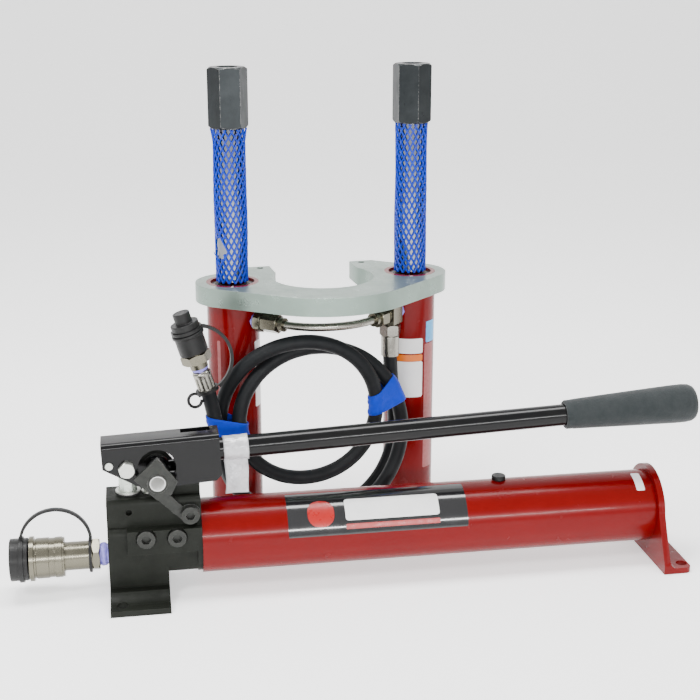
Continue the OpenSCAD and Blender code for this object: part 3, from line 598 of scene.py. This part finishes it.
# ---- Everything else from its CAD node, with rounded edges ----
ROUND = {
    "yoke_plate": (1.1, 3), "left_barrel": (0.5, 2), "right_barrel": (0.5, 2), "left_gland": (0.3, 2),
    "right_gland": (0.3, 2), "rod_wipers": (0.2, 1), "port_adapter": (0.4, 2), "port_tee": (1.2, 3),
    "tube_nuts": (0.35, 2), "transfer_tube": (0, 1), "hose_swivel": (0.5, 2), "hose_cap": (0.7, 3),
    "hose_cap_strap": (0.5, 2), "left_rod": (0.4, 2), "right_rod": (0.4, 2), "left_piston": (0.3, 1),
    "right_piston": (0.3, 1), "left_piston_seal": (0.2, 1), "right_piston_seal": (0.2, 1),
    "left_nut": (0.4, 2), "right_nut": (0.4, 2), "pump_head": (1.6, 3), "head_plugs": (0.5, 2),
    "reservoir_tube": (0.3, 2), "end_bracket": (0.8, 3), "tie_rod": (0.3, 1), "tie_rod_nut": (0.4, 2),
    "outlet_nipple": (0.3, 1), "coupler_body": (0.4, 2), "plunger_gland": (0.2, 1), "relief_plug": (0.4, 2),
    "pump_seals": (0.2, 1), "check_balls": (0, 1), "oil_pickup": (0.2, 1), "oil_strainer": (0.3, 1),
    "link_screws": (0.5, 2), "filler_plug": (2.0, 5), "release_knob": (0.8, 3), "coupler_collar": (0.5, 2),
    "coupler_cap": (0.8, 3), "coupler_cap_strap": (0.5, 2), "link_arms": (0.5, 2), "link_pivot": (0.5, 2),
    "lever_beam": (0.4, 2), "handle_tube": (0.4, 2), "grip": (0.8, 3), "plunger_bolt": (0.35, 2),
    "beam_rivet": (0.5, 2), "plunger": (0.5, 2)}
for node, (width, count) in ROUND.items():
    look = dress(node, width, count)

# ---- Threads inside the coupling nuts ----
for name, place, body in (("nut_thread_left", LEFT, "left_rod"), ("nut_thread_right", RIGHT, "right_rod")):
    spiral = [(9.75 * math.cos(t), 9.75 * math.sin(t), 413 + 2.5 * t / (2 * math.pi))
              for t in np.arange(0, 2 * math.pi * 13.4, math.pi / 14)]
    v, f = tube_mesh(spiral, 0.62, 5)
    piece(name, v, f, place, body, F["black_oxide"])

# ---- Labels: plain coloured panels with nothing written on them ----
patch("panel_dark", TUBE, RESERVOIR_R, 9, 87, 76, 240, LABEL_BLACK, "pump", "x", 0.6)
patch("panel_bar", TUBE, RESERVOIR_R, 30, 66, 128, 214, LABEL_WHITE, "pump", "x", 2.5, 0.24)
patch("panel_line", TUBE, RESERVOIR_R, 17, 25, 128, 214, LABEL_RED, "pump", "x", 1.0, 0.24)
patch("panel_spot", TUBE, RESERVOIR_R, 22, 66, 94, 118, LABEL_RED, "pump", "x", 11, 0.24)
patch("tube_sticker", TUBE, RESERVOIR_R, 46, 84, 403, 411, LABEL_WHITE, "pump", "x", 1.0, 0.2)

for name, place, a0, a1, low, high, finish in (
        ("label_box", RIGHT, 220, 286, 164, 179.5, LABEL_WHITE),
        ("label_stripe", RIGHT, 220, 286, 155.8, 162.7, LABEL_ORANGE),
        ("label_block", RIGHT, 220, 286, 118, 155.5, LABEL_WHITE),
        ("label_square", RIGHT, 295, 330, 174.2, 196, LABEL_BLUE),
        ("label_strip", RIGHT, 291, 322, 40, 173, LABEL_PALE),
        ("label_left_block", LEFT, 312, 345, 120, 187, LABEL_WHITE),
        ("label_left_strip", LEFT, 221, 229, 60, 190, LABEL_PALE),
        ("label_left_patch", LEFT, 192, 212, 56, 68, LABEL_BLUE)):
    patch(name, place, BARREL_R, a0, a1, low, high, finish, "press", corner=1.2)

# ---- Small loop left over at the lower ring of the hose cap's strap ----
loop_line = [(-14.2 - 6.2 * math.cos(t), 1.2 * math.sin(t), -3.6 + 6.2 * math.sin(t))
             for t in np.linspace(-math.pi * 0.93, math.pi * 0.93, 40)]
loop_v, loop_f = tube_mesh(loop_line, 1.5, 10)
piece("cap_strap_loop", loop_v, loop_f, HOSE_END, "press", F["black_plastic"])

# ---- Pale tube in the pivot's bore: painted light, its pale wall standing in for the bright backdrop seen through the open hole ----
bore_backdrop_wall = [(6.85, -24.6), (6.85, 24.6), (6.3, 24.6), (6.3, -24.6)]
bore_backdrop_v, bore_backdrop_f, around = [], [], 48
for radius, along in bore_backdrop_wall:
    for k in range(around):
        a = 2 * math.pi * k / around
        bore_backdrop_v.append((radius * math.cos(a), radius * math.sin(a), along))
for i in range(4):
    for k in range(around):
        j, n = (i + 1) % 4, (k + 1) % around
        bore_backdrop_f.append((i * around + k, i * around + n, j * around + n, j * around + k))
piece("pivot_bore_backdrop_stand_in", bore_backdrop_v, bore_backdrop_f, PUMP @ moved(*PIVOT_AT) @ turned(90, "X"), BODY["link_pivot"],
      F["bore_backdrop_pale"])

# ---- Clear film wound round the handle, its tail hanging in front of the reservoir ----
film_v, film_f = [], []
across, down = 13, 90
for i in range(across):
    w = i / (across - 1)
    for j in range(down):
        s = j / (down - 1)
        if s < 0.55:
            a = math.radians(-70 - 320 * s / 0.55)
            wrinkle = 0.35 * math.sin(9 * s + 5 * w) + 0.2 * math.sin(31 * s + 9 * w)
            r = 10.9 + abs(wrinkle)
            y, z = r * math.cos(a), r * math.sin(a)
            x = 22 + 22 * w + 0.5 * math.sin(7 * s)
        else:
            t = (s - 0.55) / 0.45
            y = 3.7 - 5.2 * t + 1.3 * math.sin(7 * t + 3 * w) * t
            z = -10.4 - 33 * t
            x = 22.5 + 21 * w + 1.2 * math.sin(4 * t + w) * t
        film_v.append((x, y, z))
for i in range(across - 1):
    for j in range(down - 1):
        film_f.append((i * down + j, i * down + j + 1, (i + 1) * down + j + 1, (i + 1) * down + j))
film = piece("film_wrap", film_v, film_f, HANDLE, "lever", F["clear_film"])
film_shell = film.modifiers.new("thickness", "SOLIDIFY")
film_shell.thickness = 0.0002
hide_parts("film_tie")

# ---- Floor and light ----
cove = [(-4, 0), (2.2, 0)] + [(2.2 + 1.2 * math.sin(t), 1.2 - 1.2 * math.cos(t))
                              for t in np.linspace(0, math.pi / 2, 25)[1:]] + [(3.4, 5)]
floor_mesh = bpy.data.meshes.new("floor")
floor_mesh.from_pydata([(x, y, z) for x in (-5, 5) for y, z in cove], [],
                       [(i, len(cove) + i, len(cove) + i + 1, i + 1) for i in range(len(cove) - 1)])
floor_mesh.shade_smooth()
floor = bpy.data.objects.new("floor", floor_mesh)
bpy.context.scene.collection.objects.link(floor)
floor_finish = Finish("floor_white", (0.96, 0.96, 0.96), (0.94, 0.94, 0.94), 0.75, 0, 3, 300, 0.0, 0.05)
floor_finish.out.inputs["Emission Color"].default_value = (1, 1, 1, 1)
floor_finish.out.inputs["Emission Strength"].default_value = 0.7
floor_mesh.materials.append(floor_finish.m)

world = bpy.data.worlds.new("studio")
bpy.context.scene.world = world
world.use_nodes = True
world.node_tree.nodes["Background"].inputs["Color"].default_value = (1, 1, 1, 1)
world.node_tree.nodes["Background"].inputs["Strength"].default_value = 0.9


def softbox(name, at, towards, size, power):
    lamp = bpy.data.lights.new(name, "AREA")
    lamp.shape = "RECTANGLE"
    lamp.size, lamp.size_y = size
    lamp.energy = power
    obj = bpy.data.objects.new(name, lamp)
    bpy.context.scene.collection.objects.link(obj)
    obj.location = at
    obj.rotation_euler = (Vector(towards) - Vector(at)).to_track_quat("-Z", "Y").to_euler()


softbox("key", (-1.2, -1.0, 1.5), (0, 0, 0.15), (0.5, 0.5), 25)
softbox("strip", (0.1, -1.9, 0.62), (0, 0, 0.15), (1.6, 0.10), 30)
softbox("top", (0, 0.1, 1.6), (0, 0, 0.1), (1.4, 0.5), 40)
